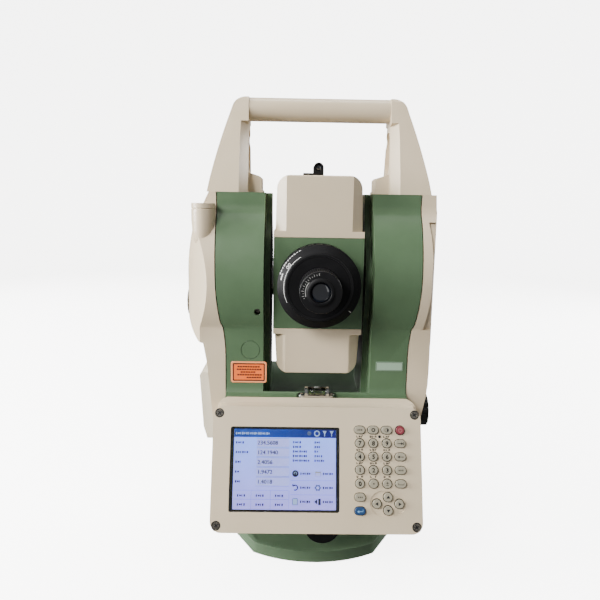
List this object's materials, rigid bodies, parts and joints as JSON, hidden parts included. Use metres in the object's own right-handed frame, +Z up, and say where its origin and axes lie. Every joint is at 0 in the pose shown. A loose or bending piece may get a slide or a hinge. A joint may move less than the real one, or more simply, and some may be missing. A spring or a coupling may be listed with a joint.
{
  "type": "surveying total station",
  "caption": "Surveying total station: tilting telescope between two standards, carrying handle, keypad with touch screen, on a levelling tribrach.",
  "frame": {"origin": "centre of the tripod thread at the underside of the base plate", "axes": "+Z up along the vertical axis, -Y towards the observer at the keypad, +X to the observer's right; metres"},
  "size_m": [0.1984, 0.1767, 0.351],
  "materials": {
    "green_paint": "satin",
    "ivory_plastic": "satin",
    "battery_grey": "matte",
    "black_knob": "satin",
    "black_rubber": "matte",
    "steel": "brushed",
    "screw_steel": "satin",
    "display_glass": "glossy",
    "key_grey": "matte",
    "key_red": "matte",
    "key_blue": "matte"
  },
  "bodies": {
    "base": {"base_plate": "green_paint", "tribrach_body": "green_paint", "circular_level": "steel", "centering_base": "steel"},
    "alidade": {"alidade_frame": "green_paint", "vertical_spindle": "steel", "left_cover": "ivory_plastic", "right_cover": "ivory_plastic", "carry_handle": "ivory_plastic", "screws": "screw_steel", "radio_pod": "ivory_plastic", "panel_housing": "ivory_plastic", "panel_frame": "ivory_plastic", "display_module": "display_glass", "plate_level": "steel", "battery_pack": "battery_grey"},
    "telescope": {"telescope_body": "green_paint", "upper_cover": "ivory_plastic", "lower_cover": "ivory_plastic", "trunnion_shafts": "steel", "objective": "black_knob", "sight": "black_knob"},
    "foot_screw_right": {"foot_screw_right": "black_knob"},
    "foot_screw_left": {"foot_screw_left": "black_knob"},
    "foot_screw_rear": {"foot_screw_rear": "black_knob"},
    "tribrach_lock": {"tribrach_lock": "black_knob"},
    "horizontal_clamp": {"horizontal_clamp": "black_knob"},
    "horizontal_tangent": {"horizontal_tangent": "black_knob"},
    "vertical_clamp": {"vertical_clamp": "black_knob"},
    "vertical_tangent": {"vertical_tangent": "black_knob"},
    "plummet_eyepiece": {"plummet_eyepiece": "black_knob"},
    "focus_ring": {"focus_ring": "black_rubber"},
    "diopter_ring": {"diopter_ring": "black_knob"},
    "focusing_lens": {"focusing_lens": "steel"},
    "key_function": {"key_function": "key_grey"},
    "key_backlight": {"key_backlight": "key_grey"},
    "key_contrast": {"key_contrast": "key_grey"},
    "key_power": {"key_power": "key_red"},
    "key_7": {"key_7": "key_grey"},
    "key_8": {"key_8": "key_grey"},
    "key_9": {"key_9": "key_grey"},
    "key_tab": {"key_tab": "key_grey"},
    "key_4": {"key_4": "key_grey"},
    "key_5": {"key_5": "key_grey"},
    "key_6": {"key_6": "key_grey"},
    "key_backspace": {"key_backspace": "key_grey"},
    "key_1": {"key_1": "key_grey"},
    "key_2": {"key_2": "key_grey"},
    "key_3": {"key_3": "key_grey"},
    "key_control": {"key_control": "key_grey"},
    "key_0": {"key_0": "key_grey"},
    "key_point": {"key_point": "key_grey"},
    "key_sign": {"key_sign": "key_grey"},
    "key_space": {"key_space": "key_grey"},
    "key_escape": {"key_escape": "key_grey"},
    "key_enter": {"key_enter": "key_blue"},
    "key_up": {"key_up": "key_grey"},
    "key_down": {"key_down": "key_grey"},
    "key_left": {"key_left": "key_grey"},
    "key_right": {"key_right": "key_grey"}
  },
  "joints": [
    {"name": "azimuth", "type": "hinge", "parent": "base", "child": "alidade", "pos_m": [0, 0, 0.054], "axis": [0, 0, 1], "continuous": true},
    {"name": "elevation", "type": "hinge", "parent": "alidade", "child": "telescope", "pos_m": [0, 0, 0.2115], "axis": [1, 0, 0], "continuous": true},
    {"name": "foot_screw_right_turn", "type": "hinge", "parent": "base", "child": "foot_screw_right", "pos_m": [0.04157, -0.024, 0.02], "axis": [0, 0, 1], "continuous": true},
    {"name": "foot_screw_left_turn", "type": "hinge", "parent": "base", "child": "foot_screw_left", "pos_m": [-0.04157, -0.024, 0.02], "axis": [0, 0, 1], "continuous": true},
    {"name": "foot_screw_rear_turn", "type": "hinge", "parent": "base", "child": "foot_screw_rear", "pos_m": [0, 0.048, 0.02], "axis": [0, 0, 1], "continuous": true},
    {"name": "tribrach_lock_turn", "type": "hinge", "parent": "base", "child": "tribrach_lock", "pos_m": [0.0063, -0.057, 0.026], "axis": [0, 1, 0], "range_deg": [0, 180]},
    {"name": "horizontal_clamp_turn", "type": "hinge", "parent": "alidade", "child": "horizontal_clamp", "pos_m": [0.0825, -0.005, 0.102], "axis": [1, 0, 0], "range_deg": [0, 60]},
    {"name": "horizontal_tangent_turn", "type": "hinge", "parent": "alidade", "child": "horizontal_tangent", "pos_m": [0.089, -0.005, 0.102], "axis": [1, 0, 0], "continuous": true},
    {"name": "vertical_clamp_turn", "type": "hinge", "parent": "alidade", "child": "vertical_clamp", "pos_m": [-0.0946, 0.005, 0.19], "axis": [1, 0, 0], "range_deg": [0, 60]},
    {"name": "vertical_tangent_turn", "type": "hinge", "parent": "alidade", "child": "vertical_tangent", "pos_m": [-0.1, 0.005, 0.19], "axis": [1, 0, 0], "continuous": true},
    {"name": "plummet_focus", "type": "hinge", "parent": "alidade", "child": "plummet_eyepiece", "pos_m": [0, 0.055, 0.074], "axis": [0, 1, 0], "range_deg": [-150, 150]},
    {"name": "focus_turn", "type": "hinge", "parent": "telescope", "child": "focus_ring", "pos_m": [0, -0.05, 0.2115], "axis": [0, 1, 0], "range_deg": [-180, 180]},
    {"name": "diopter_turn", "type": "hinge", "parent": "telescope", "child": "diopter_ring", "pos_m": [0, -0.075, 0.2115], "axis": [0, 1, 0], "range_deg": [-120, 120]},
    {"name": "focusing_lens_slide", "type": "slide", "parent": "telescope", "child": "focusing_lens", "axis": [0, 1, 0], "range_m": [-0.009, 0.009]},
    {"name": "key_function_press", "type": "slide", "parent": "alidade", "child": "key_function", "axis": [0, 0.9421, -0.3355], "range_m": [0, 0.0012], "stiffness_N_per_m": 400},
    {"name": "key_backlight_press", "type": "slide", "parent": "alidade", "child": "key_backlight", "axis": [0, 0.9421, -0.3355], "range_m": [0, 0.0012], "stiffness_N_per_m": 400},
    {"name": "key_contrast_press", "type": "slide", "parent": "alidade", "child": "key_contrast", "axis": [0, 0.9421, -0.3355], "range_m": [0, 0.0012], "stiffness_N_per_m": 400},
    {"name": "key_power_press", "type": "slide", "parent": "alidade", "child": "key_power", "axis": [0, 0.9421, -0.3355], "range_m": [0, 0.0012], "stiffness_N_per_m": 400},
    {"name": "key_7_press", "type": "slide", "parent": "alidade", "child": "key_7", "axis": [0, 0.9421, -0.3355], "range_m": [0, 0.0012], "stiffness_N_per_m": 400},
    {"name": "key_8_press", "type": "slide", "parent": "alidade", "child": "key_8", "axis": [0, 0.9421, -0.3355], "range_m": [0, 0.0012], "stiffness_N_per_m": 400},
    {"name": "key_9_press", "type": "slide", "parent": "alidade", "child": "key_9", "axis": [0, 0.9421, -0.3355], "range_m": [0, 0.0012], "stiffness_N_per_m": 400},
    {"name": "key_tab_press", "type": "slide", "parent": "alidade", "child": "key_tab", "axis": [0, 0.9421, -0.3355], "range_m": [0, 0.0012], "stiffness_N_per_m": 400},
    {"name": "key_4_press", "type": "slide", "parent": "alidade", "child": "key_4", "axis": [0, 0.9421, -0.3355], "range_m": [0, 0.0012], "stiffness_N_per_m": 400},
    {"name": "key_5_press", "type": "slide", "parent": "alidade", "child": "key_5", "axis": [0, 0.9421, -0.3355], "range_m": [0, 0.0012], "stiffness_N_per_m": 400},
    {"name": "key_6_press", "type": "slide", "parent": "alidade", "child": "key_6", "axis": [0, 0.9421, -0.3355], "range_m": [0, 0.0012], "stiffness_N_per_m": 400},
    {"name": "key_backspace_press", "type": "slide", "parent": "alidade", "child": "key_backspace", "axis": [0, 0.9421, -0.3355], "range_m": [0, 0.0012], "stiffness_N_per_m": 400},
    {"name": "key_1_press", "type": "slide", "parent": "alidade", "child": "key_1", "axis": [0, 0.9421, -0.3355], "range_m": [0, 0.0012], "stiffness_N_per_m": 400},
    {"name": "key_2_press", "type": "slide", "parent": "alidade", "child": "key_2", "axis": [0, 0.9421, -0.3355], "range_m": [0, 0.0012], "stiffness_N_per_m": 400},
    {"name": "key_3_press", "type": "slide", "parent": "alidade", "child": "key_3", "axis": [0, 0.9421, -0.3355], "range_m": [0, 0.0012], "stiffness_N_per_m": 400},
    {"name": "key_control_press", "type": "slide", "parent": "alidade", "child": "key_control", "axis": [0, 0.9421, -0.3355], "range_m": [0, 0.0012], "stiffness_N_per_m": 400},
    {"name": "key_0_press", "type": "slide", "parent": "alidade", "child": "key_0", "axis": [0, 0.9421, -0.3355], "range_m": [0, 0.0012], "stiffness_N_per_m": 400},
    {"name": "key_point_press", "type": "slide", "parent": "alidade", "child": "key_point", "axis": [0, 0.9421, -0.3355], "range_m": [0, 0.0012], "stiffness_N_per_m": 400},
    {"name": "key_sign_press", "type": "slide", "parent": "alidade", "child": "key_sign", "axis": [0, 0.9421, -0.3355], "range_m": [0, 0.0012], "stiffness_N_per_m": 400},
    {"name": "key_space_press", "type": "slide", "parent": "alidade", "child": "key_space", "axis": [0, 0.9421, -0.3355], "range_m": [0, 0.0012], "stiffness_N_per_m": 400},
    {"name": "key_escape_press", "type": "slide", "parent": "alidade", "child": "key_escape", "axis": [0, 0.9421, -0.3355], "range_m": [0, 0.0012], "stiffness_N_per_m": 400},
    {"name": "key_enter_press", "type": "slide", "parent": "alidade", "child": "key_enter", "axis": [0, 0.9421, -0.3355], "range_m": [0, 0.0012], "stiffness_N_per_m": 400},
    {"name": "key_up_press", "type": "slide", "parent": "alidade", "child": "key_up", "axis": [0, 0.9421, -0.3355], "range_m": [0, 0.0012], "stiffness_N_per_m": 400},
    {"name": "key_down_press", "type": "slide", "parent": "alidade", "child": "key_down", "axis": [0, 0.9421, -0.3355], "range_m": [0, 0.0012], "stiffness_N_per_m": 400},
    {"name": "key_left_press", "type": "slide", "parent": "alidade", "child": "key_left", "axis": [0, 0.9421, -0.3355], "range_m": [0, 0.0012], "stiffness_N_per_m": 400},
    {"name": "key_right_press", "type": "slide", "parent": "alidade", "child": "key_right", "axis": [0, 0.9421, -0.3355], "range_m": [0, 0.0012], "stiffness_N_per_m": 400}
  ],
  "couplings": [
    {"joint": "focusing_lens_slide", "follows": "focus_turn", "m_per_rad": 0.00286}
  ]
}
